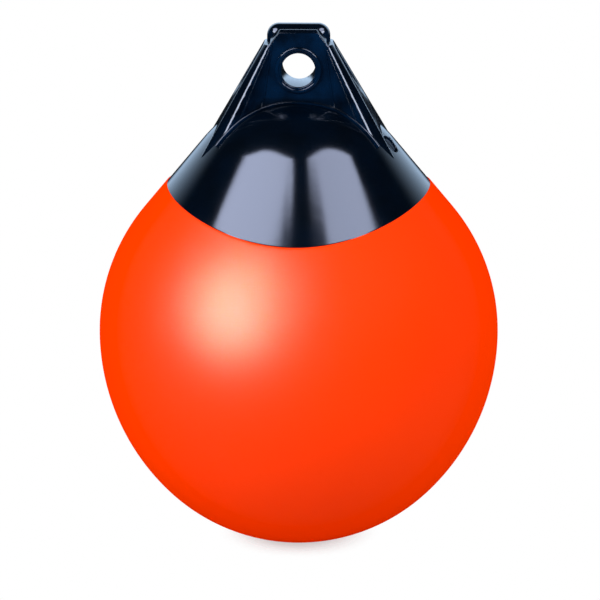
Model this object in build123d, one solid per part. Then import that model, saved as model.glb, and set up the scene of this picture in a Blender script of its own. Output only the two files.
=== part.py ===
from build123d import *
import math
import os

# Mooring buoy: a hollow inflated vinyl ball with a solid moulded rope hold on its crown.
# Millimetres. +Z is up, X runs along the wide side of the rope hold, and the rope eye's bore is along Y.
# The origin is the middle of the flattened patch that the ball stands on.

# Ball, standing on its patch
ball_radius = 145.0
ball_stretch = 10.9             # the ball's lower half is this much taller than it is wide
bottom_sharpness = 7.5          # ball's radius less the rounding of its bottom
shoulder_sharpness = 4.0        # ball's radius less the rounding up to the straight shoulder
shoulder_angle = 39.66          # the straight shoulder faces this many degrees above level
crown_radius = 90.0             # round top that closes the straight shoulder
ball_sag = 1.1                  # how far its own weight flattens the bottom
ball_wall = 2.6

# Skirt of the rope hold, moulded over the crown
skirt_thickness = 3.0
skirt_inset = 0.6               # the skirt's face lies this far inside the ball's face
rim_drop = 64.0                 # top of the crown down to the highest part of the rim
rim_wave_radius = 310.0         # the rim follows a level cylinder of this radius, lower at front and back
shoulder_band = 8.0             # thick wall kept inside the ball below the rim

# Rope hold, heights above the top of the crown unless said otherwise
head_height = 51.3
block_half_width = 22.4
block_half_depth = 8.5
block_corner = 8.4              # round upper corners, seen from the front
block_edge_round = 7.0          # rounding of the block's outline at its front and back
block_drop = 22.0               # how far the block's sides run down before the legs hide them
eye_height = 20.4
eye_radius = 12.0
eye_mouth_round = 1.0
collar_radius = 15.3
collar_rise = 1.6               # how far the collar stands out of the panel
leg_top_height = 37.9
leg_foot_drop = 40.0            # the legs run on inside the skirt to this depth under the crown
leg_front_half_width = 22.2     # at the legs' top
leg_front_spread = 0.506        # growth of that half width for each mm down
leg_outer_half_width = 24.4
leg_outer_spread = 0.568
leg_front_half_depth = 15.6
leg_front_depth_spread = 0.285
leg_outer_half_depth = 10.4
leg_outer_depth_spread = 0.262
rib_crest_width = 2.6           # slanted crest along the front edge of each leg
rib_crest_fall = 1.3            # how far the crest falls back towards the leg's side
rib_wall_width = 2.4            # slanted wall from the crest down to the side panel
rib_wall_depth = 1.9

# Boss in front of the block that carries the eye; its front is sunk between the legs lower down
boss_height = 48.6
boss_half_width = 19.8
boss_drop = 18.0                # how far the boss's sides run down before the legs hide them
boss_bevel = 2.4                # bevel along the boss's upper edge
facet_top_half_width = 12.2     # slanted upper corners of the boss
facet_drop = 7.0                # height of a slanted corner at the boss's front
facet_slant = 5.4               # width of a slanted corner at the boss's front
facet_back_width = 3.4          # the slant widens by this much towards the block
facet_back_fall = 1.1
panel_top_height = 43.4
panel_half_width = 17.9         # crease between middle panel and side panel at that height
panel_half_depth = 14.6
panel_bend_height = 1.5         # where the panel starts to flare out to the skirt
panel_bend_half_width = 24.2
panel_bend_half_depth = 17.1
panel_foot_drop = 8.0           # the flared panel ends on the dome near this depth under the crown
panel_foot_half_width = 26.0
panel_foot_half_depth = 21.6
leg_apex_drop = 30.6            # where the front rib of a leg runs out on the skirt
leg_apex_half_width = 56.8
leg_apex_half_depth = 35.5

# Recess between the legs at each end
recess_depth = 3.0              # at the legs' top; the floor dies out into the skirt
recess_spread = 0.632           # growth of the floor's half width for each mm down
recess_step = 1.2               # how far the round lower end is sunk into the skirt
recess_top_height = 33.0
recess_top_half_width = 3.0
recess_bow_radius = 16.0        # round lower end
recess_bow_drop = 13.0          # crown down to the centre of that round end

# Air valve in the skirt at the right end
valve_azimuth = -14.6
valve_drop = 31.7               # crown down to the valve's centre on the skirt
valve_well_radius = 7.2
valve_body_radius = 9.0
valve_body_depth = 13.0
valve_bore_radius = 4.0
plug_head_radius = 5.4
plug_head_height = 1.8
plug_slot_width = 1.4
plug_slot_depth = 1.0
plug_stem_length = 6.5
seat_clearance = 0.05

# Overrun that lets a cut pass right through
overrun = 20.0
valve_well_depth = skirt_inset + skirt_thickness

# Worked out: the arcs of the ball's outline and the places where they meet
ball_lower_height = ball_radius + ball_stretch
bottom_radius = ball_radius - bottom_sharpness
shoulder_radius = ball_radius - shoulder_sharpness
widest_z = ball_lower_height - ball_sag
bottom_centre_z = widest_z - ball_lower_height + bottom_radius
side_radius = (ball_radius ** 2 + (ball_lower_height - bottom_radius) ** 2 - bottom_radius ** 2) / (
    2 * (ball_radius - bottom_radius))
side_centre_r = ball_radius - side_radius
side_turn = math.atan2(bottom_centre_z - widest_z, -side_centre_r)
shoulder_turn = math.radians(shoulder_angle)
shoulder_slope = math.tan(shoulder_turn)
shoulder_centre_r = ball_radius - shoulder_radius
shoulder_end_r = shoulder_centre_r + shoulder_radius * math.cos(shoulder_turn)
shoulder_end_z = widest_z + shoulder_radius * math.sin(shoulder_turn)
crown_start_r = crown_radius * math.cos(shoulder_turn)
crown_start_z = shoulder_end_z + (shoulder_end_r - crown_start_r) / shoulder_slope
crown_centre_z = crown_start_z - crown_radius * math.sin(shoulder_turn)
crown_z = crown_centre_z + crown_radius


def arc_point(centre_r, centre_z, radius, turn):
    """Point of an arc of the outline, at an angle above level."""
    return centre_r + radius * math.cos(turn), centre_z + radius * math.sin(turn)


def body_of_revolution(inset):
    """The ball with its shoulder and crown as one solid, drawn in evenly by an inset."""
    bottom = bottom_radius - inset
    side = side_radius - inset
    shoulder = shoulder_radius - inset
    crown = crown_radius - inset
    patch_turn = math.asin((inset - bottom_centre_z) / bottom)
    crown_turn = math.pi / 2
    patch = arc_point(0, bottom_centre_z, bottom, patch_turn)
    low = arc_point(0, bottom_centre_z, bottom, side_turn)
    widest = arc_point(side_centre_r, widest_z, side, 0)
    high = arc_point(shoulder_centre_r, widest_z, shoulder, shoulder_turn)
    cap = arc_point(0, crown_centre_z, crown, shoulder_turn)
    top = arc_point(0, crown_centre_z, crown, crown_turn)
    with BuildPart() as turned:
        with BuildSketch(Plane.XZ):
            with BuildLine():
                ThreePointArc(patch, arc_point(0, bottom_centre_z, bottom, (patch_turn + side_turn) / 2), low)
                ThreePointArc(low, arc_point(side_centre_r, widest_z, side, side_turn / 2), widest)
                ThreePointArc(
                    widest, arc_point(shoulder_centre_r, widest_z, shoulder, shoulder_turn / 2), high)
                Line(high, cap)
                ThreePointArc(
                    cap, arc_point(0, crown_centre_z, crown, (shoulder_turn + crown_turn) / 2), (0, top[1]))
                Polyline((0, top[1]), (0, inset), patch)
            make_face()
        revolve(axis=Axis.Z)
    return turned.part


outer_body = body_of_revolution(0)
skirt_body = body_of_revolution(skirt_inset)
recess_body = body_of_revolution(skirt_inset + recess_step)
seat_body = body_of_revolution(skirt_inset + skirt_thickness)
crown_cavity = body_of_revolution(skirt_inset + skirt_thickness + ball_wall)
ball_cavity = body_of_revolution(ball_wall)

rim_top_z = crown_z - rim_drop
reach = ball_radius + overrun
head_top_z = crown_z + head_height
boss_top_z = crown_z + boss_height
leg_top_z = crown_z + leg_top_height
leg_foot_z = crown_z - leg_foot_drop
leg_apex_z = crown_z - leg_apex_drop
panel_top_z = crown_z + panel_top_height
panel_bend_z = crown_z + panel_bend_height
panel_foot_z = crown_z - panel_foot_drop
eye_z = crown_z + eye_height


def above_rim():
    """Everything above the wavy rim, which is a level cylinder with its axis along X."""
    axis_z = rim_top_z - rim_wave_radius
    height = rim_wave_radius + head_height + rim_drop + overrun
    block = Pos(0, 0, axis_z + height / 2) * Box(2 * reach, 2 * reach, height)
    wave = Pos(0, 0, axis_z) * Rot(0, 90, 0) * Cylinder(rim_wave_radius, 2 * (reach + overrun))
    return block - wave


def prism(points, plane, half_length):
    """An outline in a plane, extruded the same length to both sides."""
    face = make_face(Polyline(*points, close=True).edges())
    return extrude(plane * face, amount=half_length, both=True)


def in_front_of(first, second, third, ahead):
    """All the room on one side of the plane through three points, the side that 'ahead' points to."""
    along = Vector(*second) - Vector(*first)
    normal = along.cross(Vector(*third) - Vector(*first)).normalized()
    if normal.dot(Vector(*ahead)) < 0:
        normal = normal * -1
    plane = Plane(origin=first, x_dir=along.normalized(), z_dir=normal)
    return plane * Pos(0, 0, reach) * Box(2 * reach, 2 * reach, 2 * reach)


def leg_core():
    """Core that widens downward; its corners are the edges of the four legs and their rib crests."""
    rows = []
    for z in (leg_top_z, leg_foot_z):
        drop = leg_top_z - z
        outer_x = leg_outer_half_width + leg_outer_spread * drop
        outer_y = leg_outer_half_depth + leg_outer_depth_spread * drop
        front_x = leg_front_half_width + leg_front_spread * drop
        front_y = leg_front_half_depth + leg_front_depth_spread * drop
        crest_x = front_x - rib_crest_width
        side_y = front_y - rib_crest_fall
        corners = [
            (outer_x, -outer_y), (outer_x, outer_y), (front_x, side_y), (crest_x, front_y),
            (-crest_x, front_y), (-front_x, side_y), (-outer_x, outer_y), (-outer_x, -outer_y),
            (-front_x, -side_y), (-crest_x, -front_y), (crest_x, -front_y), (front_x, -side_y),
        ]
        rows.append(make_face(Polyline(*[(x, y, z) for x, y in corners], close=True).edges()))
    return loft(rows, ruled=True)


def top_block():
    """Upright block that closes the top of the rope hold, rounded at its corners and its outline."""
    height = block_drop
    block = Pos(0, 0, head_top_z - height / 2) * Box(2 * block_half_width, 2 * block_half_depth, height)
    corners = block.edges().filter_by(Axis.Y).group_by(Axis.Z)[-1]
    block = fillet(corners, block_corner)
    outlines = []
    for face in (block.faces().sort_by(Axis.Y)[0], block.faces().sort_by(Axis.Y)[-1]):
        outlines += [edge for edge in face.edges() if edge.center().Z > head_top_z - height]
    return fillet(outlines, block_edge_round)


def front_boss():
    """Boss that stands out at the front and back of the block, with slanted upper corners."""
    height = boss_drop
    depth = panel_half_depth + overrun
    boss = Pos(0, 0, boss_top_z - height / 2) * Box(2 * boss_half_width, 2 * depth, height)
    for side_y in (-1, 1):
        front = side_y * panel_half_depth
        boss = boss - in_front_of(
            (0, side_y * panel_half_depth, panel_top_z),
            (panel_half_width, side_y * panel_half_depth, panel_top_z),
            (0, side_y * panel_bend_half_depth, panel_bend_z), (0, side_y, 0))
        bevel_low = boss_top_z - boss_bevel
        boss = boss - in_front_of(
            (0, front, bevel_low), (1, front, bevel_low),
            (0, front - side_y * boss_bevel, boss_top_z), (0, side_y, 1))
        for side_x in (-1, 1):
            top = (side_x * facet_top_half_width, front, boss_top_z)
            low = (side_x * (facet_top_half_width + facet_slant), front, boss_top_z - facet_drop)
            back = (
                side_x * (facet_top_half_width + facet_back_width), side_y * block_half_depth / 2,
                boss_top_z - facet_back_fall)
            boss = boss - in_front_of(top, low, back, (side_x, 0, 1))
    return boss


def middle_outline():
    """Right edge of the middle panel seen from the front, from above the legs down into the skirt."""
    run = (panel_foot_half_width - panel_bend_half_width) / (panel_bend_z - panel_foot_z)
    rise = (panel_bend_half_width - panel_half_width) / (panel_top_z - panel_bend_z)
    return [
        (panel_half_width - rise * overrun, panel_top_z + overrun),
        (panel_bend_half_width, panel_bend_z),
        (panel_foot_half_width + run * (panel_foot_z - leg_foot_z), leg_foot_z),
    ]


def middle_room(side):
    """Room in front of the middle panel, which flares out below its bend."""
    ahead = (0, side, 0)
    top = (0, side * panel_half_depth, panel_top_z)
    bend = (0, side * panel_bend_half_depth, panel_bend_z)
    foot = (0, side * panel_foot_half_depth, panel_foot_z)
    right = middle_outline()
    left = [(-x, z) for x, z in reversed(right)]
    room = prism(right + left, Plane.XZ, reach)
    room = room & in_front_of(top, (1, top[1], top[2]), bend, ahead)
    return room & in_front_of(bend, (1, bend[1], bend[2]), foot, ahead)


def side_room(side_x, side_y):
    """Room in front of one side panel, up to the slanted wall of the leg's front rib."""
    ahead = (0, side_y, 0)
    crease_top = (side_x * panel_half_width, side_y * panel_half_depth, panel_top_z)
    crease_bend = (side_x * panel_bend_half_width, side_y * panel_bend_half_depth, panel_bend_z)
    crease_foot = (side_x * panel_foot_half_width, side_y * panel_foot_half_depth, panel_foot_z)
    apex = (side_x * leg_apex_half_width, side_y * leg_apex_half_depth, leg_apex_z)
    edge = [(side_x * x, z) for x, z in middle_outline()]
    room = prism(edge + [(side_x * reach, edge[2][1]), (side_x * reach, edge[0][1])], Plane.XZ, reach)
    room = room & in_front_of(crease_top, crease_bend, apex, ahead)
    room = room & in_front_of(crease_bend, crease_foot, apex, ahead)
    crest = []
    for z in (leg_top_z, leg_foot_z):
        drop = leg_top_z - z
        crest.append((
            side_x * (leg_front_half_width + leg_front_spread * drop - rib_crest_width),
            side_y * (leg_front_half_depth + leg_front_depth_spread * drop), z))
    inner = (
        crest[0][0] - side_x * rib_wall_width, crest[0][1] - side_y * rib_wall_depth, crest[0][2])
    return room & in_front_of(crest[0], crest[1], inner, (-side_x, side_y, 0))


def recess_cut(side):
    """Pocket between the two legs of one end: narrow at the top, with a round lower end."""
    top = crown_z + recess_top_height
    centre = crown_z - recess_bow_drop
    with BuildPart() as pocket:
        with BuildSketch(Plane.YZ):
            with BuildLine():
                Line((-recess_top_half_width, top), (recess_top_half_width, top))
                Line((recess_top_half_width, top), (recess_bow_radius, centre))
                ThreePointArc(
                    (recess_bow_radius, centre), (0, centre - recess_bow_radius),
                    (-recess_bow_radius, centre))
                Line((-recess_bow_radius, centre), (-recess_top_half_width, top))
            make_face()
        extrude(amount=side * reach)
    top_x = leg_outer_half_width - recess_depth
    foot_x = top_x + recess_spread * (leg_top_z - leg_foot_z)
    rise_x = top_x - recess_spread * overrun
    wedge = [
        (side * rise_x, leg_top_z + overrun), (side * foot_x, leg_foot_z),
        (side * reach, leg_foot_z), (side * reach, leg_top_z + overrun),
    ]
    return (pocket.part & prism(wedge, Plane.XZ, reach)) - recess_body


def eye_half_length():
    """Half the length of the eye, from the middle to the collar's face."""
    panel_slope = (panel_bend_half_depth - panel_half_depth) / (panel_top_height - panel_bend_height)
    return panel_half_depth + panel_slope * (panel_top_height - eye_height) + collar_rise


def eye_collar(half):
    """Raised ring round each mouth of the rope eye."""
    return Pos(0, 0, eye_z) * Rot(90, 0, 0) * Cylinder(collar_radius, 2 * half)


def eye_bore(half):
    """Bore of the rope eye with softened mouths."""
    bore = Pos(0, 0, eye_z) * Rot(90, 0, 0) * Cylinder(eye_radius, 2 * half + overrun)
    for side in (-1, 1):
        mouth = Pos(0, side * (half - eye_mouth_round / 2), eye_z) * Rot(side * -90, 0, 0) * Cone(
            eye_radius, eye_radius + eye_mouth_round, eye_mouth_round)
        bore = bore + mouth
    return bore


def valve_plane():
    """Where the valve sits: on the skirt's straight shoulder, facing straight out of it."""
    z = crown_z - valve_drop
    radius = crown_start_r + (crown_start_z - z) * shoulder_slope
    turn = math.radians(valve_azimuth)
    outward = Vector(math.cos(turn), math.sin(turn), shoulder_slope)
    place = Vector(radius * math.cos(turn), radius * math.sin(turn), z)
    return Plane(origin=place, z_dir=outward.normalized())


def standing_cylinder(radius, low, high):
    """A cylinder about local Z from one level to another."""
    return Pos(0, 0, (low + high) / 2) * Cylinder(radius, high - low)


def make_valve():
    """Valve body, plug, and the space that both need in the skirt and the ball."""
    seat = valve_plane()
    low = -valve_well_depth - valve_body_depth
    ledge = -valve_well_depth
    stem_low = ledge - plug_stem_length
    body = standing_cylinder(valve_body_radius, low, ledge)
    body = body - standing_cylinder(valve_bore_radius + seat_clearance, stem_low, ledge + overrun)
    plug = standing_cylinder(plug_head_radius, ledge, ledge + plug_head_height)
    slot = Pos(0, 0, ledge + plug_head_height) * Box(
        2 * plug_head_radius + overrun, plug_slot_width, 2 * plug_slot_depth)
    plug = plug - slot + standing_cylinder(valve_bore_radius, stem_low, ledge)
    well = standing_cylinder(valve_well_radius, ledge, overrun)
    space = standing_cylinder(valve_body_radius, low, ledge) + well
    return seat * body, seat * plug, seat * space


def make_ball(valve_space):
    """Hollow ball; its crown is drawn in under the skirt, and thicker just below the rim."""
    top = above_rim()
    solid = (outer_body - top) + (seat_body & top)
    band_z = rim_top_z - rim_wave_radius + math.sqrt(rim_wave_radius ** 2 - ball_radius ** 2) - shoulder_band
    low_side = Pos(0, 0, band_z - reach) * Box(2 * reach, 2 * reach, 2 * reach)
    cavity = crown_cavity + (ball_cavity & low_side)
    return solid - cavity - valve_space


def make_rope_hold(valve_space):
    """Skirt, four legs, panels, boss and eye in one moulding."""
    half = eye_half_length()
    skirt = skirt_body & above_rim()
    core = leg_core()
    for side in (-1, 1):
        core = core - middle_room(side) - side_room(-1, side) - side_room(1, side)
    hold = core + front_boss() + top_block() + eye_collar(half) + skirt
    for side in (-1, 1):
        hold = hold - recess_cut(side)
    hold = hold - eye_bore(half)
    return hold - seat_body - valve_space


def main():
    os.makedirs("parts", exist_ok=True)
    valve_body, valve_plug, valve_space = make_valve()
    nodes = {
        "ball": make_ball(valve_space),
        "rope_hold": make_rope_hold(valve_space),
        "valve_body": valve_body,
        "valve_plug": valve_plug,
    }
    for name, shape in nodes.items():
        export_step(shape, f"parts/{name}.step")
        print(name, "volume", round(shape.volume, 1), "box", shape.bounding_box())
    print("eye at", round(eye_z, 3), "half length", round(eye_half_length(), 3), "crown", round(crown_z, 3))


main()
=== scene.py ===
import math

import bmesh
import bpy
import numpy as np
from mathutils import Matrix, Vector
from mathutils.kdtree import KDTree


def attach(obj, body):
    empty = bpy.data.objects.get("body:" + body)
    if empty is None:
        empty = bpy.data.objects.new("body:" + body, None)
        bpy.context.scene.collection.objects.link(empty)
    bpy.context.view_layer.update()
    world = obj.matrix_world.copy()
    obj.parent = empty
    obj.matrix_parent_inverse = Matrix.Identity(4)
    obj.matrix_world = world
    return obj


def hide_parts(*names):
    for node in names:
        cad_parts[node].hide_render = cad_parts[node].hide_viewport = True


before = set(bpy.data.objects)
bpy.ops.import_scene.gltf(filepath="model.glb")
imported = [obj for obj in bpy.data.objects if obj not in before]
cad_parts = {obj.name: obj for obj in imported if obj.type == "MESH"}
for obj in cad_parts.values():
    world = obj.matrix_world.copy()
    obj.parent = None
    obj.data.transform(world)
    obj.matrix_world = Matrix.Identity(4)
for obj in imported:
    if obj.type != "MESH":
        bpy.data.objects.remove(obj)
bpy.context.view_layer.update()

# The frame is in metres, and the shapes below are worked out in millimetres
MM = 0.001

# Photograph: 600 pixels square, taken from a little above
photo_size_px = 600
focal_px = 2780.0
axis_px = (298.7, 330.1)
camera_distance = 2.030
camera_elevation = math.radians(15.82)
object_turn = math.radians(1.4)
sensor_width = 36.0
near_clip = 0.05

# Ball and skirt, with the same arcs as the part
ball_radius = 145.0
ball_lower_height = 155.9
bottom_radius = 137.5
shoulder_radius = 141.0
shoulder_turn = math.radians(39.66)
crown_radius = 90.0
ball_sag = 1.1
ball_wall = 2.6
skirt_inset = 0.6
skirt_thickness = 3.0
rim_drop = 64.0
rim_wave_radius = 310.0
ball_lip_round = 0.5
skirt_lip_round = 0.35
head_cut_drop = 52.0            # the skirt below this depth under the crown is the turned one alone
cut_dive_height = 7.0           # over this height above the cut the softened skin sinks into the skirt
cut_dive_depth = 0.8
skin_held = 0.14                # a softened skin this close to the skirt's face is laid on it
skin_free = 0.45                # and one this far off is left as it is
skin_above = 0.02               # how far the laid skin stands off the face

# Panels and ribs of the rope hold, with the same values as the part; heights are above the crown
panel_top = (17.9, -14.6, 43.4)
panel_bend = (24.2, -17.1, 1.5)
panel_foot = (26.0, -21.6, -8.0)
leg_apex = (56.8, -35.5, -30.6)
crease_start_height = 38.0
leg_top_height = 37.9
leg_front_half_width = 22.2
leg_front_spread = 0.506
leg_front_half_depth = 15.6
leg_front_depth_spread = 0.285
rib_crest_width = 2.6
rib_wall_width = 2.4
rib_wall_depth = 1.9
rib_line_top_gap = 3.0          # the rib's line starts this far under the leg's top
rib_line_end_gap = 2.0          # and stops this far above the apex
eye_height = 20.4
collar_middle_radius = 15.0
collar_bead_depth = 17.0        # from the middle to the bead's centre line
collar_bead_radius = 1.55
line_bead_radius = 0.65
arch_bead_radius = 1.5
arch_lift = 0.6                 # how far each line stands out of its crease
rib_lift = 0.6
crease_lift = 0.15

# Air valve's seat, which is cut out of the ball
valve_turn = math.radians(-14.6)
valve_drop = 31.7
valve_well_radius = 7.2
valve_body_radius = 9.0
valve_body_depth = 13.0
valve_play = 0.05
well_edge_depth = 1.2           # the softened skin forms the well's mouth down to this depth
well_edge_width = 1.8

# Fineness of the meshes
arc_points = 300
wall_steps_around = 240
wall_rows = 120
wall_seam_gap = 0.02            # the turned wall's seam and pole are merged at this distance
cutter_sides = 64
hold_voxel = 0.55
hold_soft_passes = 3
hold_soft_share = 0.5
hold_most_triangles = 130000
same_place = 0.001              # points closer than this are one
arch_points = 40
arch_search_points = 400
arch_search_reach = 2.0         # the search for the arch starts this far under the apex
rib_points = 30
rib_search_points = 200
rib_search_reach = 3.0          # the search for the rib's foot ends at this many wall widths
collar_points = 96
bead_sides = 16
ball_crease = math.radians(38)
bead_crease = math.radians(50)

# Worked out: where the arcs of the outline meet
widest_z = ball_lower_height - ball_sag
bottom_centre_z = bottom_radius - ball_sag
side_radius = (ball_radius ** 2 + (ball_lower_height - bottom_radius) ** 2 - bottom_radius ** 2) / (
    2 * (ball_radius - bottom_radius))
side_centre_r = ball_radius - side_radius
side_turn = math.atan2(bottom_centre_z - widest_z, -side_centre_r)
patch_turn = math.asin(-bottom_centre_z / bottom_radius)
shoulder_slope = math.tan(shoulder_turn)
shoulder_centre_r = ball_radius - shoulder_radius
shoulder_end_r = shoulder_centre_r + shoulder_radius * math.cos(shoulder_turn)
shoulder_end_z = widest_z + shoulder_radius * math.sin(shoulder_turn)
crown_start_r = crown_radius * math.cos(shoulder_turn)
crown_start_z = shoulder_end_z + (shoulder_end_r - crown_start_r) / shoulder_slope
crown_centre_z = crown_start_z - crown_radius * math.sin(shoulder_turn)
crown_z = crown_centre_z + crown_radius
rim_axis_z = crown_z - rim_drop - rim_wave_radius
seat_inset = skirt_inset + skirt_thickness


# Outline of the ball, from the middle of its patch up to the top of the crown

def ball_outline():
    """Distance along the ball's outline, with the radius and height there."""
    arcs = (
        # centre radius, centre height, arc radius, first facing, last facing
        (0.0, bottom_centre_z, bottom_radius, patch_turn, side_turn),
        (side_centre_r, widest_z, side_radius, side_turn, 0.0),
        (shoulder_centre_r, widest_z, shoulder_radius, 0.0, shoulder_turn),
        (0.0, crown_centre_z, crown_radius, shoulder_turn, math.pi / 2),
    )
    radii = [np.zeros(1)]
    heights = [np.zeros(1)]
    for centre_r, centre_z, radius, first, last in arcs:
        facing = np.linspace(first, last, arc_points)
        radii.append(centre_r + radius * np.cos(facing))
        heights.append(centre_z + radius * np.sin(facing))
    radii = np.concatenate(radii)
    heights = np.concatenate(heights)

    # Points that two arcs share are kept once
    apart = np.concatenate([[np.inf], np.hypot(np.diff(radii), np.diff(heights))])
    radii = radii[apart > same_place]
    heights = heights[apart > same_place]
    along = np.concatenate([[0.0], np.cumsum(np.hypot(np.diff(radii), np.diff(heights)))])
    return along, radii, heights


outline_along, outline_r, outline_z = ball_outline()
shoulder_end_along = np.interp(shoulder_end_z, outline_z, outline_along)


# Building blocks of the node trees

def feed(tree, socket, value):
    """Gives an input its value, which is another node's output or a plain number."""
    if isinstance(value, bpy.types.NodeSocket):
        tree.links.new(value, socket)
    elif value is not None:
        socket.default_value = value


def add_node(tree, kind, inputs=None, **settings):
    """A new node with its settings, and its inputs fed by their names or numbers."""
    node = tree.nodes.new(kind)
    for name, value in settings.items():
        setattr(node, name, value)
    for key, value in (inputs or {}).items():
        feed(tree, node.inputs[key], value)
    return node


def calc(tree, operation, first, second=None):
    """One Math node; each value is a socket or a number."""
    return add_node(tree, "ShaderNodeMath", {0: first, 1: second}, operation=operation).outputs["Value"]


def ranged(tree, value, low, high, start=0.0, end=1.0, smooth=False):
    """Maps a value from start..end to low..high."""
    limits = {"Value": value, "From Min": start, "From Max": end, "To Min": low, "To Max": high}
    kind = "SMOOTHSTEP" if smooth else "LINEAR"
    return add_node(tree, "ShaderNodeMapRange", limits, interpolation_type=kind).outputs["Result"]


def tree_inputs(tree, rows):
    """A geometry tree's named inputs, from rows of (name, kind)."""
    sockets = {}
    for name, kind in rows:
        sockets[name] = tree.interface.new_socket(
            name, in_out="INPUT", socket_type="NodeSocket" + kind)
    return sockets


def finish_tree(tree, geometry, finish, output):
    """Ends a geometry tree in real geometry with its material."""
    tree.interface.new_socket(output, in_out="OUTPUT", socket_type="NodeSocketGeometry")
    real = add_node(tree, "GeometryNodeRealizeInstances", {"Geometry": geometry})
    finished = add_node(tree, "GeometryNodeSetMaterial", {
        "Geometry": real.outputs["Geometry"], "Material": finish})
    add_node(tree, "NodeGroupOutput", {output: finished.outputs["Geometry"]})


# Turned wall of the ball and of the skirt, which ends at the wavy rim

def rim_distance(tree, given, azimuth, inset):
    """Distance along the outline at which the wavy rim crosses the straight shoulder, under an inset."""
    # The crossing is the larger root of square * t * t + 2 * middle * t + rest, with t along the shoulder
    rise = calc(tree, "COSINE", given["Shoulder angle"])
    run = calc(tree, "SINE", given["Shoulder angle"])
    radius = calc(tree, "SUBTRACT", given["Shoulder end radius"], calc(tree, "MULTIPLY", inset, rise))
    height = calc(tree, "SUBTRACT", given["Shoulder end height"], given["Rim wave axis height"])
    height = calc(tree, "SUBTRACT", height, calc(tree, "MULTIPLY", inset, run))
    swing = calc(tree, "POWER", calc(tree, "SINE", azimuth), 2.0)
    radius_swing = calc(tree, "MULTIPLY", radius, swing)
    square = calc(tree, "ADD", calc(tree, "MULTIPLY", rise, rise), calc(
        tree, "MULTIPLY", calc(tree, "MULTIPLY", run, run), swing))
    middle = calc(tree, "SUBTRACT", calc(tree, "MULTIPLY", height, rise), calc(
        tree, "MULTIPLY", radius_swing, run))
    rest = calc(tree, "ADD", calc(tree, "MULTIPLY", height, height), calc(
        tree, "MULTIPLY", radius, radius_swing))
    wave = given["Rim wave radius"]
    rest = calc(tree, "SUBTRACT", rest, calc(tree, "MULTIPLY", wave, wave))
    root = calc(tree, "SQRT", calc(tree, "SUBTRACT", calc(tree, "MULTIPLY", middle, middle), calc(
        tree, "MULTIPLY", square, rest)))
    further = calc(tree, "DIVIDE", calc(tree, "SUBTRACT", root, middle), square)
    return calc(tree, "ADD", given["Shoulder end distance"], further)


def wall_sockets(tree):
    """The turned wall's named inputs."""
    lengths = (
        "Shoulder angle", "Shoulder end radius", "Shoulder end height", "Shoulder end distance",
        "Rim wave axis height", "Rim wave radius", "Start distance", "Crown distance",
        "Face inset", "Seat inset", "Lip round", "Lip side")
    return tree_inputs(tree, (
        ("Outline", "Geometry"), ("Steps around", "Int"), ("Rows", "Int"),
        *((name, "Float") for name in lengths),
        ("Turn faces", "Bool"), ("Finish", "Material")))


def wall_places(tree, given, share, azimuth):
    """How far along the outline each row lies, and how far under it."""
    # The rows run along the face, over the lip, down the step and along the seat
    face_share = 0.70
    lip_share = 0.76
    step_share = 0.79
    on_face = ranged(tree, share, 0.0, 1.0, 0.0, face_share)
    over_lip = ranged(tree, share, 0.0, math.pi / 2, face_share, lip_share)
    down_step = ranged(tree, share, 0.0, 1.0, lip_share, step_share)
    on_seat = ranged(tree, share, 0.0, 1.0, step_share, 1.0)

    lip = given["Lip round"]
    lip_in = calc(tree, "MULTIPLY", lip, calc(tree, "SUBTRACT", 1.0, calc(tree, "COSINE", over_lip)))
    lip_back = calc(tree, "MULTIPLY", lip, calc(tree, "SUBTRACT", 1.0, calc(tree, "SINE", over_lip)))
    lip_back = calc(tree, "MULTIPLY", lip_back, given["Lip side"])
    step = calc(tree, "SUBTRACT", calc(tree, "SUBTRACT", given["Seat inset"], given["Face inset"]), lip)
    inset = calc(tree, "ADD", given["Face inset"], calc(tree, "ADD", lip_in, calc(
        tree, "MULTIPLY", step, down_step)))
    rim = rim_distance(tree, given, azimuth, inset)
    edge = calc(tree, "SUBTRACT", rim, lip_back)
    start = given["Start distance"]
    along = calc(tree, "ADD", start, calc(tree, "MULTIPLY", on_face, calc(tree, "SUBTRACT", edge, start)))
    along = calc(tree, "ADD", along, calc(tree, "MULTIPLY", on_seat, calc(
        tree, "SUBTRACT", given["Crown distance"], rim)))
    return along, inset


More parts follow.
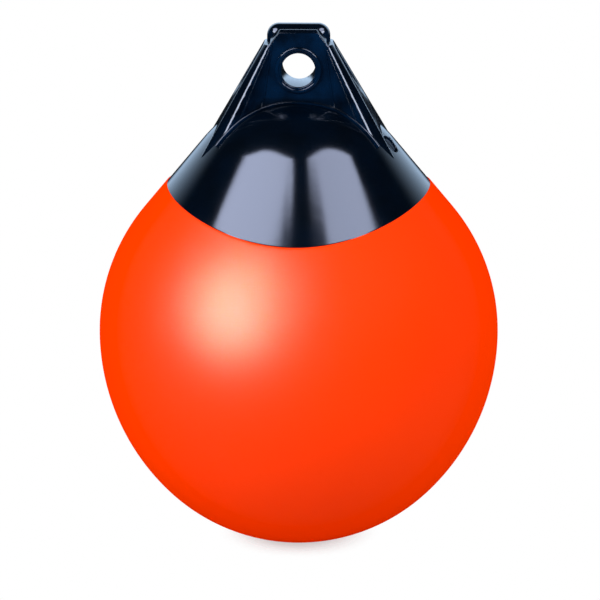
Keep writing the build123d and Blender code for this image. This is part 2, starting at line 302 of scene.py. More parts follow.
def turned_wall_tree():
    """Turns the outline into a wall: one face up to the wavy rim, a round lip, and the seat beyond it."""
    tree = bpy.data.node_groups.new("turned_wall", "GeometryNodeTree")
    sockets = wall_sockets(tree)
    given = add_node(tree, "NodeGroupInput").outputs
    grid_size = 1.0
    grid = add_node(tree, "GeometryNodeMeshGrid", {
        "Size X": grid_size, "Size Y": grid_size,
        "Vertices X": calc(tree, "ADD", given["Steps around"], 1.0), "Vertices Y": given["Rows"]})
    place = add_node(tree, "GeometryNodeInputPosition")
    split = add_node(tree, "ShaderNodeSeparateXYZ", {"Vector": place.outputs["Position"]})
    azimuth = calc(tree, "MULTIPLY", calc(tree, "ADD", split.outputs["X"], grid_size / 2), 2 * math.pi)
    share = calc(tree, "ADD", split.outputs["Y"], grid_size / 2)
    along, inset = wall_places(tree, given, share, azimuth)

    # Each row's point on the outline sinks in by the inset, and is then turned round the middle
    depth_axis = (0.0, 1.0, 0.0)
    curve = add_node(tree, "GeometryNodeMeshToCurve", {"Mesh": given["Outline"]})
    sample = add_node(tree, "GeometryNodeSampleCurve", {
        "Curves": curve.outputs["Curve"], "Length": along}, mode="LENGTH")
    inward = add_node(tree, "ShaderNodeVectorMath", {
        0: sample.outputs["Tangent"], 1: depth_axis}, operation="CROSS_PRODUCT")
    sunk = add_node(tree, "ShaderNodeVectorMath", {
        0: inward.outputs["Vector"], 1: inset, 2: sample.outputs["Position"]}, operation="MULTIPLY_ADD")
    turn = add_node(tree, "ShaderNodeVectorRotate", {
        "Vector": sunk.outputs["Vector"], "Angle": azimuth}, rotation_type="Z_AXIS")
    move = add_node(tree, "GeometryNodeSetPosition", {
        "Geometry": grid.outputs["Mesh"], "Position": turn.outputs["Vector"]})
    closed = add_node(tree, "GeometryNodeMergeByDistance", {
        "Geometry": move.outputs["Geometry"], "Distance": wall_seam_gap * MM})
    flip = add_node(tree, "GeometryNodeFlipFaces", {
        "Mesh": closed.outputs["Geometry"], "Selection": given["Turn faces"]})
    finish_tree(tree, flip.outputs["Mesh"], given["Finish"], "Wall")
    return tree, sockets


def turned_wall(name, tree, sockets, sizes, finish):
    """One turned piece, made from the outline by the turned wall tree."""
    line = [(radius * MM, 0.0, height * MM) for radius, height in zip(outline_r, outline_z)]
    mesh = bpy.data.meshes.new(name)
    mesh.from_pydata(line, [(step, step + 1) for step in range(len(line) - 1)], [])
    piece = bpy.data.objects.new(name, mesh)
    turned = piece.modifiers.new("turned_wall", "NODES")
    turned.node_group = tree
    for label, value in sizes.items():
        turned[sockets[label].identifier] = value
    turned[sockets["Finish"].identifier] = finish
    bpy.context.collection.objects.link(piece)
    return piece


def applied(piece):
    """The piece with its modifiers turned into plain mesh."""
    graph = bpy.context.evaluated_depsgraph_get()
    mesh = bpy.data.meshes.new_from_object(piece.evaluated_get(graph))
    piece.modifiers.clear()
    piece.data = mesh
    return piece


def shade(piece, crease):
    """Smooth shading, with edges sharper than the crease angle kept sharp."""
    piece.data.shade_smooth()
    piece.data.set_sharp_from_angle(angle=crease)


def valve_tool(name, steps):
    """Round cutter square to the shoulder at the air valve, from rows of (radius, depth below the ball)."""
    z = crown_z - valve_drop
    radius = crown_start_r + (crown_start_z - z) * shoulder_slope
    place = Vector((radius * math.cos(valve_turn), radius * math.sin(valve_turn), z)) * MM
    outward = Vector((math.cos(valve_turn), math.sin(valve_turn), shoulder_slope)).normalized()
    turns = [2 * math.pi * step / cutter_sides for step in range(cutter_sides)]
    shape = bmesh.new()
    rings = []
    for ring_radius, depth in steps:
        rings.append([shape.verts.new((
            ring_radius * math.cos(angle) * MM, ring_radius * math.sin(angle) * MM, -depth * MM))
            for angle in turns])
    for low, high in zip(rings, rings[1:]):
        for step in range(cutter_sides):
            after = (step + 1) % cutter_sides
            shape.faces.new((low[step], low[after], high[after], high[step]))
    shape.faces.new(list(reversed(rings[0])))
    shape.faces.new(rings[-1])
    bmesh.ops.recalc_face_normals(shape, faces=shape.faces)
    shape.transform(Matrix.Translation(place) @ outward.to_track_quat("Z", "Y").to_matrix().to_4x4())
    mesh = bpy.data.meshes.new(name)
    shape.to_mesh(mesh)
    shape.free()
    tool = bpy.data.objects.new(name, mesh)
    bpy.context.collection.objects.link(tool)
    return tool


def joined_with(piece, other, operation):
    """Cuts the other piece away, or makes one closed skin of both, and deletes the other."""
    work = piece.modifiers.new(operation.lower(), "BOOLEAN")
    work.operation = operation
    work.solver = "MANIFOLD"
    work.object = other
    applied(piece)
    bpy.data.objects.remove(other)
    return piece


def wall_sizes(own):
    """Sizes that the ball and the skirt share, and the piece's own."""
    return {
        "Steps around": wall_steps_around,
        "Rows": wall_rows,
        "Shoulder angle": shoulder_turn,
        "Shoulder end radius": shoulder_end_r * MM,
        "Shoulder end height": shoulder_end_z * MM,
        "Shoulder end distance": float(shoulder_end_along) * MM,
        "Rim wave axis height": rim_axis_z * MM,
        "Rim wave radius": rim_wave_radius * MM,
        "Crown distance": float(outline_along[-1]) * MM,
        **own,
    }


def blown_up_ball(tree, sockets, finish):
    """Orange ball: its face ends in a small round lip along the rim, and its wall runs on underneath."""
    sizes = wall_sizes({
        "Start distance": 0.0, "Face inset": 0.0, "Seat inset": seat_inset * MM,
        "Lip round": ball_lip_round * MM, "Lip side": 1.0, "Turn faces": False})
    ball = turned_wall("ball_skin", tree, sockets, sizes, finish)
    wall = ball.modifiers.new("wall", "SOLIDIFY")
    wall.thickness = ball_wall * MM
    wall.offset = -1.0
    applied(ball)
    depth = seat_inset + valve_body_depth
    reach = valve_body_radius + valve_play
    joined_with(ball, valve_tool("valve_seat", ((reach, depth), (reach, -skirt_inset))), "DIFFERENCE")
    shade(ball, ball_crease)
    return ball


def moulded_skirt(tree, sockets, finish):
    """Skirt of the rope hold, with the air valve's well cut through it."""
    sizes = wall_sizes({
        "Start distance": float(outline_along[-1]) * MM, "Face inset": skirt_inset * MM,
        "Seat inset": seat_inset * MM, "Lip round": skirt_lip_round * MM, "Lip side": -1.0,
        "Turn faces": True})
    skirt = applied(turned_wall("skirt_skin", tree, sockets, sizes, finish))
    below = seat_inset + valve_play
    neck = skirt_inset + well_edge_depth
    above = -skirt_inset
    well = valve_tool("valve_well", (
        (valve_well_radius, below), (valve_well_radius, neck),
        (valve_well_radius + well_edge_width, neck), (valve_well_radius + well_edge_width, above)))
    return joined_with(skirt, well, "DIFFERENCE")


# Rope hold: the part's own solid with its edges and creases softened as in the mould, and the turned skirt

def outer_gap(points):
    """Signed distance of points, in millimetres, from the skirt's outer face, and that face's normals."""
    x, y, z = points.T
    radius = np.hypot(x, y)
    azimuth = np.arctan2(y, x)
    crown_facing = np.arctan2(z - crown_centre_z, radius)
    shoulder_facing = np.arctan2(z - widest_z, radius - shoulder_centre_r)
    on_crown = crown_facing >= shoulder_turn
    on_shoulder = ~on_crown & (shoulder_facing <= shoulder_turn)
    facing = np.where(on_crown, crown_facing, np.where(on_shoulder, shoulder_facing, shoulder_turn))
    crown_gap = np.hypot(radius, z - crown_centre_z) - crown_radius
    shoulder_gap = np.hypot(radius - shoulder_centre_r, z - widest_z) - shoulder_radius
    cone_gap = (radius - shoulder_end_r) * math.cos(shoulder_turn) + (
        z - shoulder_end_z) * math.sin(shoulder_turn)
    gap = np.where(on_crown, crown_gap, np.where(on_shoulder, shoulder_gap, cone_gap)) + skirt_inset
    normals = np.stack([
        np.cos(facing) * np.cos(azimuth), np.cos(facing) * np.sin(azimuth), np.sin(facing)], axis=1)
    return gap, normals


def mesh_vectors(mesh, name):
    """All the places or normals of a mesh's vertices, one row each."""
    values = np.empty(len(mesh.vertices) * 3)
    mesh.vertices.foreach_get(name, values)
    return values.reshape(-1, 3)


def mesh_edges(mesh):
    """The two vertices of each of a mesh's edges, one row each."""
    values = np.empty(len(mesh.edges) * 2, dtype=np.int32)
    mesh.edges.foreach_get("vertices", values)
    return values.reshape(-1, 2)


def triangle_count(mesh):
    """How many triangles a mesh's faces come to."""
    return sum(len(face.vertices) - 2 for face in mesh.polygons)


def unit_rows(rows):
    """Each row as a direction of length 1."""
    return rows / np.linalg.norm(rows, axis=1)[:, None]


def softened(points, edges, passes, share):
    """Moves each point part of the way to the middle of its neighbours, some times over."""
    count = len(points)
    first, second = edges.T
    neighbours = np.bincount(first, minlength=count) + np.bincount(second, minlength=count)
    for _ in range(passes):
        middle = np.empty_like(points)
        for axis in range(3):
            middle[:, axis] = (
                np.bincount(first, weights=points[second, axis], minlength=count)
                + np.bincount(second, weights=points[first, axis], minlength=count)) / neighbours
        points = points + share * (middle - points)
    return points


def evened(normals, edges, passes, spread):
    """Evens out the normals of flat and round faces, and leaves the edges between them crisp."""
    count = len(normals)
    first, second = edges.T
    for _ in range(passes):
        apart = ((normals[first] - normals[second]) ** 2).sum(axis=1)
        weight = np.exp(-apart / (2 * spread ** 2))
        total = normals.copy()
        for axis in range(3):
            total[:, axis] += np.bincount(first, weights=weight * normals[second, axis], minlength=count)
            total[:, axis] += np.bincount(second, weights=weight * normals[first, axis], minlength=count)
        normals = unit_rows(total)
    return normals


def rope_hold_top():
    """The part's own rope hold above the lower skirt, as a closed mesh."""
    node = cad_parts["rope_hold"]
    mesh = node.data.copy()
    mesh.transform(node.matrix_world)
    shape = bmesh.new()
    shape.from_mesh(mesh)
    bmesh.ops.remove_doubles(shape, verts=shape.verts, dist=same_place * MM)
    whole = list(shape.verts) + list(shape.edges) + list(shape.faces)
    cut = bmesh.ops.bisect_plane(
        shape, geom=whole, plane_co=(0, 0, (crown_z - head_cut_drop) * MM), plane_no=(0, 0, 1),
        clear_inner=True)
    edges = [item for item in cut["geom_cut"] if isinstance(item, bmesh.types.BMEdge)]
    bmesh.ops.triangle_fill(shape, use_beauty=True, edges=edges)
    bmesh.ops.recalc_face_normals(shape, faces=shape.faces)
    shape.to_mesh(mesh)
    shape.free()
    mesh.materials.clear()
    piece = bpy.data.objects.new("hold_skin", mesh)
    bpy.context.collection.objects.link(piece)
    return piece


def settled(points):
    """The softened skin: it lies on the skirt's face where it comes close, and at the cut it sinks in."""
    gap, normals = outer_gap(points)
    near = np.clip((skin_free - np.abs(gap)) / (skin_free - skin_held), 0, 1)
    level = np.maximum(gap + (skin_above - gap) * near, -skirt_thickness / 2)
    over_cut = points[:, 2] - (crown_z - head_cut_drop)
    dive = np.clip((cut_dive_height - over_cut) / (cut_dive_height - hold_voxel), 0, 1) * cut_dive_depth
    level = np.where(dive > 0, np.minimum(level, skin_above - dive), level)
    return points + normals * (level - gap)[:, None]


def shaded_as(piece, fine, fine_normals):
    """Shades the piece as the fine skin is, and by the exact face where it lies on the skirt."""
    most_turn = math.radians(12)
    mesh = piece.data
    find = KDTree(len(fine))
    for index, point in enumerate(fine):
        find.insert(point, index)
    find.balance()
    points = mesh_vectors(mesh, "co") / MM
    nearest = np.array([find.find(point)[1] for point in points])
    shown = fine_normals[nearest]
    gap, exact = outer_gap(points)
    facing_out = (shown * exact).sum(axis=1)
    on_face = (np.abs(gap) < skin_held) & (facing_out > math.cos(most_turn))
    shown[on_face] = exact[on_face]
    mesh.shade_smooth()
    mesh.normals_split_custom_set_from_vertices(shown.tolist())


def moulded_hold(tree, sockets, finish):
    """Navy rope hold with round edges; its skirt lies exactly on the part's skirt."""
    even_passes = 12
    even_spread = 0.12
    hold = rope_hold_top()
    skin = hold.modifiers.new("even_skin", "REMESH")
    skin.mode = "VOXEL"
    skin.voxel_size = hold_voxel * MM
    applied(hold)

    mesh = hold.data
    edges = mesh_edges(mesh)
    points = softened(mesh_vectors(mesh, "co") / MM, edges, hold_soft_passes, hold_soft_share)
    mesh.vertices.foreach_set("co", (settled(points) * MM).ravel())
    mesh.update()
    fine = mesh_vectors(mesh, "co")
    fine_normals = evened(mesh_vectors(mesh, "normal"), edges, even_passes, even_spread)
    triangles = triangle_count(mesh)
    if triangles > hold_most_triangles:
        thin = hold.modifiers.new("fewer_faces", "DECIMATE")
        thin.ratio = hold_most_triangles / triangles
        applied(hold)

    skirt = moulded_skirt(tree, sockets, finish)
    fine = np.concatenate([fine, mesh_vectors(skirt.data, "co")]) / MM
    fine_normals = np.concatenate([fine_normals, mesh_vectors(skirt.data, "normal")])
    joined_with(hold, skirt, "UNION")
    shaded_as(hold, fine, fine_normals)
    return hold


# Fine moulded lines of the rope hold, which follow its creases, arches, ribs and collars

def plane_depth(first, second, third, x, height):
    """Depth (Y) of the plane through three points, at some X and heights."""
    along = np.array(second) - np.array(first)
    across = np.array(third) - np.array(first)
    normal = np.cross(along, across)
    return first[1] - (normal[0] * (x - first[0]) + normal[2] * (height - first[2])) / normal[1]


def side_panel_depth(x, height):
    """Depth of the right front side panel's face, which bends at the crease from the bend to the apex."""
    upper = plane_depth(panel_top, panel_bend, leg_apex, x, height)
    lower = plane_depth(panel_bend, panel_foot, leg_apex, x, height)
    return np.minimum(upper, lower)


def arch_path():
    """Where the panels meet the skirt's round top, from the middle out to the leg's apex."""
    radius = crown_radius - skirt_inset
    heights = np.linspace(leg_apex[2] - arch_search_reach, 0.0, arch_search_points)
    path = []
    for x in np.linspace(0.0, leg_apex[0], arch_points):
        if x < panel_foot[0]:
            flare = (panel_bend[1] - panel_foot[1]) / (panel_bend[2] - panel_foot[2])
            depth = panel_bend[1] + flare * (heights - panel_bend[2])
        else:
            depth = side_panel_depth(x, heights)
        outside = x ** 2 + depth ** 2 + (heights + crown_radius) ** 2 - radius ** 2
        height = np.interp(0.0, outside, heights)
        crease = Vector((x, np.interp(height, heights, depth), height))
        off_dome = (crease + Vector((0.0, 0.0, crown_radius))).normalized()
        outward = (off_dome + Vector((0.0, -1.0, 0.0))).normalized()
        path.append(tuple(crease + outward * arch_lift))
    return path


def rib_path():
    """Foot of the rib's inner wall on the side panel, from the leg's top down to the apex."""
    path = []
    steps = np.linspace(0.0, rib_search_reach, rib_search_points)
    top = leg_top_height - rib_line_top_gap
    end = leg_apex[2] + rib_line_end_gap
    for height in np.linspace(top, end, rib_points):
        drop = leg_top_height - height
        x = leg_front_half_width + leg_front_spread * drop - rib_crest_width - rib_wall_width * steps
        y = -(leg_front_half_depth + leg_front_depth_spread * drop) + rib_wall_depth * steps
        behind = y - side_panel_depth(x, height)
        step = np.interp(0.0, behind, steps)
        path.append((np.interp(step, steps, x), np.interp(step, steps, y) - rib_lift, height))
    return path


def crease_path():
    """Crease between the middle panel and the side panel, down to the arch."""
    share = (crease_start_height - panel_bend[2]) / (panel_top[2] - panel_bend[2])
    start = [low + (high - low) * share for high, low in zip(panel_top, panel_bend)]
    start[2] = crease_start_height
    return [(x, y - crease_lift, height) for x, y, height in (start, panel_bend, panel_foot)]


def collar_path():
    """Middle of the collar round the rope eye."""
    turns = np.linspace(0, 2 * math.pi, collar_points, endpoint=False)
    return [(
        collar_middle_radius * math.cos(turn), -collar_bead_depth,
        eye_height + collar_middle_radius * math.sin(turn)) for turn in turns]


def bead_tree():
    """A round bead along a path, with closed ends."""
    tree = bpy.data.node_groups.new("moulded_bead", "GeometryNodeTree")
    sockets = tree_inputs(tree, (
        ("Path", "Geometry"), ("Bead radius", "Float"), ("Sides", "Int"), ("Finish", "Material")))
    given = add_node(tree, "NodeGroupInput").outputs
    path = add_node(tree, "GeometryNodeMeshToCurve", {"Mesh": given["Path"]})
    section = add_node(tree, "GeometryNodeCurvePrimitiveCircle", {
        "Radius": given["Bead radius"], "Resolution": given["Sides"]})
    sweep = add_node(tree, "GeometryNodeCurveToMesh", {
        "Curve": path.outputs["Curve"], "Profile Curve": section.outputs["Curve"], "Fill Caps": True})
    finish_tree(tree, sweep.outputs["Mesh"], given["Finish"], "Bead")
    return tree, sockets


def bead_piece(name, paths, closed, radius, finish):
    """One piece with a bead along every path; closed paths are rings."""
    points = []
    edges = []
    for path in paths:
        first = len(points)
        points += [(x * MM, y * MM, (crown_z + height) * MM) for x, y, height in path]
        edges += [(step, step + 1) for step in range(first, len(points) - 1)]
        if closed:
            edges.append((len(points) - 1, first))
    mesh = bpy.data.meshes.new(name)
    mesh.from_pydata(points, edges, [])
    piece = bpy.data.objects.new(name, mesh)
    tree, sockets = bead_tree()
    bead = piece.modifiers.new("moulded_bead", "NODES")
    bead.node_group = tree
    for label, value in (("Bead radius", radius * MM), ("Sides", bead_sides), ("Finish", finish)):
        bead[sockets[label].identifier] = value
    bpy.context.collection.objects.link(piece)
    applied(piece)
    shade(piece, bead_crease)
    return piece


def mirrored(path, side_x, side_y):
    """The path on another side of the middle planes; a side is 1 or -1."""
    return [(x * side_x, y * side_y, height) for x, y, height in path]


def moulded_lines(finish):
    """Raised lines on both faces, the arches' round rims and the collars' round rims."""
    lines = []
    arches = []
    collars = []
    half = arch_path()
    whole = [*mirrored(half[:0:-1], -1, 1), *half]
    for side_y in (1, -1):
        arches.append(mirrored(whole, 1, side_y))
        for side_x in (1, -1):
            for path in (rib_path(), crease_path()):
                lines.append(mirrored(path, side_x, side_y))
        collars.append(mirrored(collar_path(), 1, side_y))
    return (
        bead_piece("hold_lines", lines, False, line_bead_radius, finish),
        bead_piece("arch_rims", arches, False, arch_bead_radius, finish),
        bead_piece("collar_rims", collars, True, collar_bead_radius, finish),
    )


# Materials

def new_material(name, color):
    """A Principled material in a plain colour; returns it with its tree and shader."""
    material = bpy.data.materials.new(name)
    material.use_nodes = True
    material.diffuse_color = (*color, 1.0)
    tree = material.node_tree
    shader = tree.nodes["Principled BSDF"]
    shader.inputs["Base Color"].default_value = (*color, 1.0)
    return material, tree, shader


def object_noise(tree, scale, detail):
    """Noise on the piece's own Object coordinates, scale in cycles for each metre."""
    place = add_node(tree, "ShaderNodeTexCoord")
    return add_node(tree, "ShaderNodeTexNoise", {
        "Vector": place.outputs["Object"], "Scale": scale, "Detail": detail}).outputs["Fac"]


def two_tone(tree, shader, value, first, second):
    """Base colour between two tones, as far as the value goes."""
    mix = add_node(tree, "ShaderNodeMix", {
        "Factor": value, "A": (*first, 1.0), "B": (*second, 1.0)}, data_type="RGBA")
    feed(tree, shader.inputs["Base Color"], mix.outputs["Result"])


def uneven_gloss(tree, shader, scale, detail, low, high):
    """Roughness that wanders between two values."""
    feed(tree, shader.inputs["Roughness"], ranged(tree, object_noise(tree, scale, detail), low, high))


def relief(tree, shader, scale, detail, depth, strength=1.0):
    """Fine surface relief of a real depth in millimetres."""
    bump = add_node(tree, "ShaderNodeBump", {
        "Height": object_noise(tree, scale, detail), "Distance": depth * MM, "Strength": strength})
    feed(tree, shader.inputs["Normal"], bump.outputs["Normal"])


def orange_vinyl():
    """Blown-up soft vinyl: even orange, satin, with a very fine skin texture."""
    orange = (1.0, 0.043, 0.0)
    deeper_orange = (0.97, 0.038, 0.0)
    material, tree, shader = new_material("orange_vinyl", orange)
    two_tone(tree, shader, object_noise(tree, scale=14.0, detail=3.0), orange, deeper_orange)
    uneven_gloss(tree, shader, scale=40.0, detail=4.0, low=0.34, high=0.38)
    relief(tree, shader, scale=900.0, detail=2.0, depth=0.02)
    turned_away = add_node(tree, "ShaderNodeLayerWeight").outputs["Facing"]
    gleam = ranged(tree, turned_away, low=0.03, high=0.0, start=0.30, end=0.60)
    feed(tree, shader.inputs["Specular IOR Level"], gleam)
    return material


def navy_vinyl():
    """Moulded hard vinyl: near-black navy with a wet gloss; steep faces are painted a lighter blue in
    patches, a painted sheen.
    """
    material, tree, shader = new_material("navy_vinyl", (0.0005, 0.0026, 0.0080))
    near_black = (0.0003, 0.0014, 0.0034)
    painted_sheen_blue = (0.0005, 0.0095, 0.0330)
    facing = add_node(tree, "ShaderNodeTexCoord").outputs["Normal"]
    split = add_node(tree, "ShaderNodeSeparateXYZ", {"Vector": facing})
    # Painted sheen: the colour turns from near black on upward faces to a lighter blue on steep faces,
    # broken into random patches
    painted_sheen_share = ranged(tree, split.outputs["Z"], low=1.0, high=0.12, start=0.20, end=0.60, smooth=True)
    cloud = object_noise(tree, scale=45.0, detail=3.0)
    patchy = ranged(tree, cloud, low=0.15, high=1.0, start=0.35, end=0.65)
    two_tone(tree, shader, calc(tree, "MULTIPLY", painted_sheen_share, patchy), near_black, painted_sheen_blue)
    uneven_gloss(tree, shader, scale=60.0, detail=5.0, low=0.09, high=0.13)
    relief(tree, shader, scale=120.0, detail=2.0, depth=0.03, strength=0.5)
    shader.inputs["Specular IOR Level"].default_value = 0.5
    return material


def valve_plastic(name, color):
    """Hard plastic of the air valve."""
    material, tree, shader = new_material(name, color)
    lighter_share = 1.3
    lighter = tuple(min(1.0, part * lighter_share) for part in color)
    two_tone(tree, shader, object_noise(tree, scale=300.0, detail=3.0), color, lighter)
    uneven_gloss(tree, shader, scale=500.0, detail=4.0, low=0.30, high=0.42)
    relief(tree, shader, scale=1500.0, detail=2.0, depth=0.02)
    shader.inputs["Specular IOR Level"].default_value = 0.02
    return material


def dress():
    """Puts the softened pieces in place of the solids and gives every piece its finish."""
    orange = orange_vinyl()
    navy = navy_vinyl()
    tree, sockets = turned_wall_tree()
    pieces = (
        # piece, CAD node, material slot, finish
        (blown_up_ball(tree, sockets, orange), "ball", "ball_vinyl", orange),
        (moulded_hold(tree, sockets, navy), "rope_hold", "hold_vinyl", navy),
    )
    for piece, node, slot, finish in pieces:
        piece.data.materials.clear()
        piece.data.materials.append(finish)
        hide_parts(node)
        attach(piece, "root")
    lines = moulded_lines(navy)
    for line in lines:
        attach(line, "root")
    finishes = (
        ("valve_body", valve_plastic("valve_plastic", (0.004, 0.008, 0.016))),
        ("valve_plug", valve_plastic("plug_plastic", (0.018, 0.026, 0.042))),
    )
    for node, finish in finishes:
        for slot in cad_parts[node].material_slots:
            slot.material = finish
    ball, hold = (piece for piece, *_ in pieces)
    valve = [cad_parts[node] for node, _ in finishes]
    return lit_group("lit_ball", [ball]), lit_group("lit_hold", [hold, *lines, *valve])


# Studio, in metres: pale floor, white background, panels that the gloss shows, and two plain lamps

def mixed(tree, share, first, second):
    """The first shader, and the second one in its place as far as the share goes."""
    return add_node(tree, "ShaderNodeMixShader", {0: share, 1: first, 2: second}).outputs["Shader"]


def looked_at(tree, paths):
    """1 where a ray comes from the camera, straight or through something clear."""
    return calc(tree, "MAXIMUM", paths["Is Camera Ray"], paths["Is Transmission Ray"])


def studio_floor():
    """White to the camera with the object's shadow on it; it fades into the white world."""
    floor_radius = 0.62
    floor_sides = 96
    floor_color = (0.53, 0.58, 0.60)
    camera_glow = 0.48
    diffuse_glow = 0.07
    glossy_clear = 0.75
    shadow_inner = 0.020
    shadow_outer = 0.062
    mesh = bpy.data.meshes.new("studio_floor")
    shape = bmesh.new()
    bmesh.ops.create_circle(shape, cap_ends=True, radius=floor_radius, segments=floor_sides)
    shape.to_mesh(mesh)
    shape.free()
    floor = bpy.data.objects.new("studio_floor", mesh)
    bpy.context.collection.objects.link(floor)

    material, tree, shader = new_material("floor_white", floor_color)
    paths = add_node(tree, "ShaderNodeLightPath").outputs
    in_view = looked_at(tree, paths)
    glow = calc(
        tree, "ADD", ranged(tree, in_view, 0.0, camera_glow),
        ranged(tree, paths["Is Diffuse Ray"], 0.0, diffuse_glow))
    finish = (
        # shader's input, value
        ("Roughness", 0.6),
        ("Specular IOR Level", 0.0),
        ("Emission Color", (1.0, 1.0, 1.0, 1.0)),
        ("Emission Strength", glow),
    )
    for name, value in finish:
        feed(tree, shader.inputs[name], value)
    place = add_node(tree, "ShaderNodeTexCoord").outputs["Object"]
    reach = add_node(tree, "ShaderNodeVectorMath", {0: place}, operation="LENGTH").outputs["Value"]
    fade = ranged(tree, reach, 0.0, 1.0, shadow_inner, shadow_outer, smooth=True)
    clear = calc(
        tree, "ADD", calc(tree, "MULTIPLY", fade, in_view),
        ranged(tree, paths["Is Glossy Ray"], 0.0, glossy_clear))
    see_through = add_node(tree, "ShaderNodeBsdfTransparent").outputs["BSDF"]
    surface = mixed(tree, clear, shader.outputs["BSDF"], see_through)
    feed(tree, tree.nodes["Material Output"].inputs["Surface"], surface)
    mesh.materials.append(material)


def studio_world():
    """White to the camera, plain light for colour, and for gloss pale low walls behind, dark in front."""
    white = (1.0, 1.0, 1.0)
    wall_color = (0.54, 0.74, 1.0)
    soft_level = 0.62
    wall_level = 1.7
    dark_level = 0.010
    world = bpy.data.worlds.new("studio")
    bpy.context.scene.world = world
    world.use_nodes = True
    tree = world.node_tree
    tree.nodes.clear()
    paths = add_node(tree, "ShaderNodeLightPath").outputs
    place = add_node(tree, "ShaderNodeTexCoord").outputs["Generated"]
    split = add_node(tree, "ShaderNodeSeparateXYZ", {"Vector": place}).outputs
    low = ranged(tree, split["Z"], 1.0, 0.0, start=0.42, end=0.62, smooth=True)
    raised = ranged(tree, split["Z"], 0.0, 1.0, start=-0.08, end=0.03, smooth=True)
    behind = ranged(tree, split["Y"], 0.0, 1.0, start=0.42, end=0.92, smooth=True)
    walls = calc(tree, "MULTIPLY", calc(tree, "MULTIPLY", low, raised), behind)
    backgrounds = (
        # rays that see it, color, strength
        ("diffuse", white, soft_level),
        ("glossy", wall_color, ranged(tree, walls, dark_level, wall_level)),
        ("camera", white, 1.0),
    )
    shades = {}
    for rays, color, strength in backgrounds:
        shades[rays] = add_node(tree, "ShaderNodeBackground", {
            "Color": (*color, 1.0), "Strength": strength}).outputs["Background"]
    reflected = mixed(tree, paths["Is Glossy Ray"], shades["diffuse"], shades["glossy"])
    seen = mixed(tree, looked_at(tree, paths), reflected, shades["camera"])
    add_node(tree, "ShaderNodeOutputWorld", {"Surface": seen})


def soft_box(name, outline, softness, level, color, lit, cover):
    """A glowing panel with soft edges, which only the gloss of the lit pieces shows.

    Its outline runs counterclockwise, and cover is how much of what lies behind it is hidden.
    """
    corners = np.array(outline)
    before = corners - np.roll(corners, 1, axis=0)
    after = np.roll(corners, -1, axis=0) - corners
    upright = Vector(np.cross(before[0], after[0])).normalized()
    outward = unit_rows(np.cross(unit_rows(before) + unit_rows(after), upright))
    count = len(corners)
    rim = corners + outward * softness / 2
    core = corners - outward * softness / 2
    faces = [tuple(range(count, 2 * count))]
    for step in range(count):
        next_step = (step + 1) % count
        faces.append((step, next_step, count + next_step, count + step))
    mesh = bpy.data.meshes.new(name)
    mesh.from_pydata(np.concatenate([rim, core]).tolist(), [], faces)
    glow = mesh.attributes.new("glow", "FLOAT", "POINT")
    glow.data.foreach_set("value", [0.0] * count + [1.0] * count)
    panel = bpy.data.objects.new(name, mesh)
    bpy.context.collection.objects.link(panel)
    material = bpy.data.materials.new(name)
    material.use_nodes = True
    tree = material.node_tree
    tree.nodes.remove(tree.nodes["Principled BSDF"])
    share = add_node(tree, "ShaderNodeAttribute", attribute_name="glow").outputs["Fac"]
    light = add_node(tree, "ShaderNodeEmission", {
        "Color": (*color, 1.0), "Strength": ranged(tree, share, 0.0, level, smooth=True)})
    see_through = add_node(tree, "ShaderNodeBsdfTransparent", {
        "Color": ranged(tree, share, 1.0, 1.0 - cover, smooth=True)})
    both = add_node(tree, "ShaderNodeAddShader", {
        0: light.outputs["Emission"], 1: see_through.outputs["BSDF"]})
    feed(tree, tree.nodes["Material Output"].inputs["Surface"], both.outputs["Shader"])
    mesh.materials.append(material)
    panel.visible_camera = False
    panel.visible_diffuse = False
    panel.visible_shadow = False
    panel.visible_transmission = False
    panel.light_linking.receiver_collection = lit


def rounded(outline, passes):
    """The outline with its corners cut off, some times over."""
    near_share = 0.75
    far_share = 1.0 - near_share
    points = np.array(outline)
    for _ in range(passes):
        after = np.roll(points, -1, axis=0)
        cut_ends = [near_share * points + far_share * after, far_share * points + near_share * after]
        points = np.stack(cut_ends, axis=1).reshape(-1, 3)
    return points


def lit_group(name, pieces):
    """A group of the pieces that a panel is linked to and lights."""
    group = bpy.data.collections.new(name)
    for piece in pieces:
        group.objects.link(piece)
    return group


def soft_boxes(lit):
    """Two large overhead panels that make the broad stripes on the skirt."""
    height = 1.80
    corner_passes = 2
    lavender = (0.64, 0.72, 1.0)
    left = (
        (-0.090, -0.730), (-0.185, -0.744), (-0.250, -0.756), (-0.275, -0.800), (-0.800, -0.900),
        (-1.530, -0.900), (-1.530, -0.400), (-1.500, -0.060), (-1.380, -0.080), (-1.050, -0.175),
        (-0.712, -0.222), (-0.368, -0.505), (-0.134, -0.714),
    )
    right = (
        (0.215, -0.696), (0.347, -0.497), (0.566, -0.216), (0.894, -0.101), (1.250, -0.055),
        (1.345, -0.080), (1.345, -0.400), (1.345, -0.900), (0.800, -0.880), (0.500, -0.790),
        (0.480, -0.720), (0.440, -0.698), (0.300, -0.702),
    )
    panels = (
        # name, outline, level
        ("soft_box_left", left, 12.4),
        ("soft_box_right", right, 10.2),
    )
    for name, outline, level in panels:
        corners = rounded([(x, y, height) for x, y in outline], corner_passes)
        soft_box(name, corners, softness=0.13, level=level, color=lavender, lit=lit, cover=1.0)


def facing_panel(name, aim, facing, distance, half_size, softness, level, color, lit):
    """An oval glowing panel that faces a point from some direction."""
    facing = Vector(facing).normalized()
    middle = Vector(aim) + facing * distance
    across = Vector((0.0, 0.0, 1.0)).cross(facing).normalized()
    upward = facing.cross(across)
    sides = 24
    outline = []
    for step in range(sides):
        angle = 2 * math.pi * step / sides
        outline.append(tuple(
            middle + across * half_size[0] * math.cos(angle) + upward * half_size[1] * math.sin(angle)))
    soft_box(name, outline, softness, level, color, lit, cover=0.0)


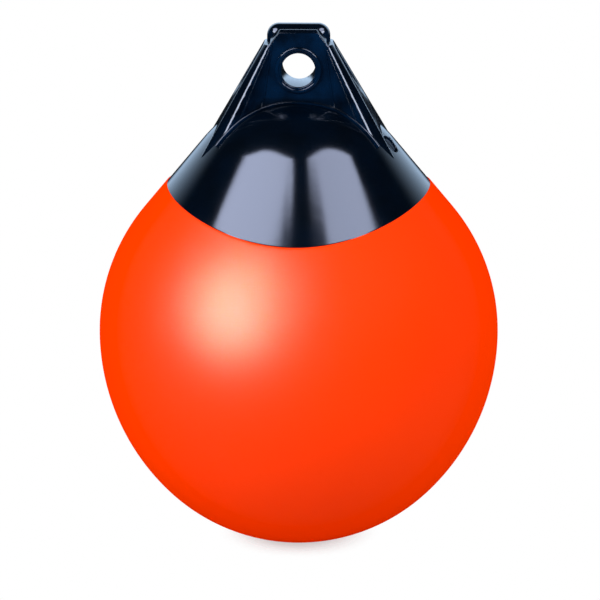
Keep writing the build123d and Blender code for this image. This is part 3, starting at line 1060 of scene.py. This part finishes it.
def crest_strips(lit):
    """Small panels at both sides that the ribs' slanted crests mirror."""
    for name, side in (("crest_strip_left", -1), ("crest_strip_right", 1)):
        facing_panel(
            name, aim=(0.0, 0.0, 0.35), facing=(side * 0.72, -0.43, 0.555), distance=2.0,
            half_size=(0.26, 0.24), softness=0.14, level=17.0, color=(0.72, 0.80, 1.0), lit=lit)


def key_panel(lit):
    """Broad soft panel for the highlight on the ball's upper left."""
    facing_panel(
        "key_panel", aim=(-0.04, -0.13, 0.18), facing=(-0.545, -0.645, 0.475), distance=1.05,
        half_size=(0.48, 0.54), softness=0.70, level=330.0, color=(1.0, 0.90, 0.80), lit=lit)


def plain_lamps():
    """Key lamp at the left and fill at the right; the gloss shows the panels and not the lamps."""
    aim = Vector((0.0, 0.0, 0.18))
    lamps = (
        # name, place, size, power
        ("key_lamp", (-1.20, -1.32, 1.38), 1.0, 35.0),
        ("fill_lamp", (1.50, -0.90, 1.30), 1.2, 18.0),
    )
    for name, place, size, power in lamps:
        data = bpy.data.lights.new(name, "AREA")
        data.shape = "SQUARE"
        data.size = size
        data.energy = power
        lamp = bpy.data.objects.new(name, data)
        bpy.context.collection.objects.link(lamp)
        turn = (Vector(place) - aim).to_track_quat("Z", "Y").to_matrix().to_4x4()
        lamp.matrix_world = Matrix.Translation(place) @ turn
        lamp.visible_glossy = False


def photo_camera():
    """Camera at the photograph's angle, distance and framing."""
    data = bpy.data.cameras.new("photo_camera")
    data.sensor_width = sensor_width
    data.lens = focal_px / photo_size_px * sensor_width
    half = photo_size_px / 2
    data.shift_x = (half - axis_px[0]) / photo_size_px
    data.shift_y = (axis_px[1] - half) / photo_size_px
    data.clip_start = near_clip
    camera = bpy.data.objects.new("photo_camera", data)
    bpy.context.collection.objects.link(camera)
    level = camera_distance * math.cos(camera_elevation)
    camera.location = (
        level * math.sin(object_turn), -level * math.cos(object_turn),
        widest_z * MM + camera_distance * math.sin(camera_elevation))
    camera.rotation_euler = (math.pi / 2 - camera_elevation, 0.0, object_turn)
    bpy.context.scene.camera = camera


# The scene
lit_ball, lit_hold = dress()
studio_floor()
studio_world()
soft_boxes(lit_hold)
crest_strips(lit_hold)
key_panel(lit_ball)
plain_lamps()
photo_camera()
bpy.context.scene.view_settings.view_transform = "Standard"
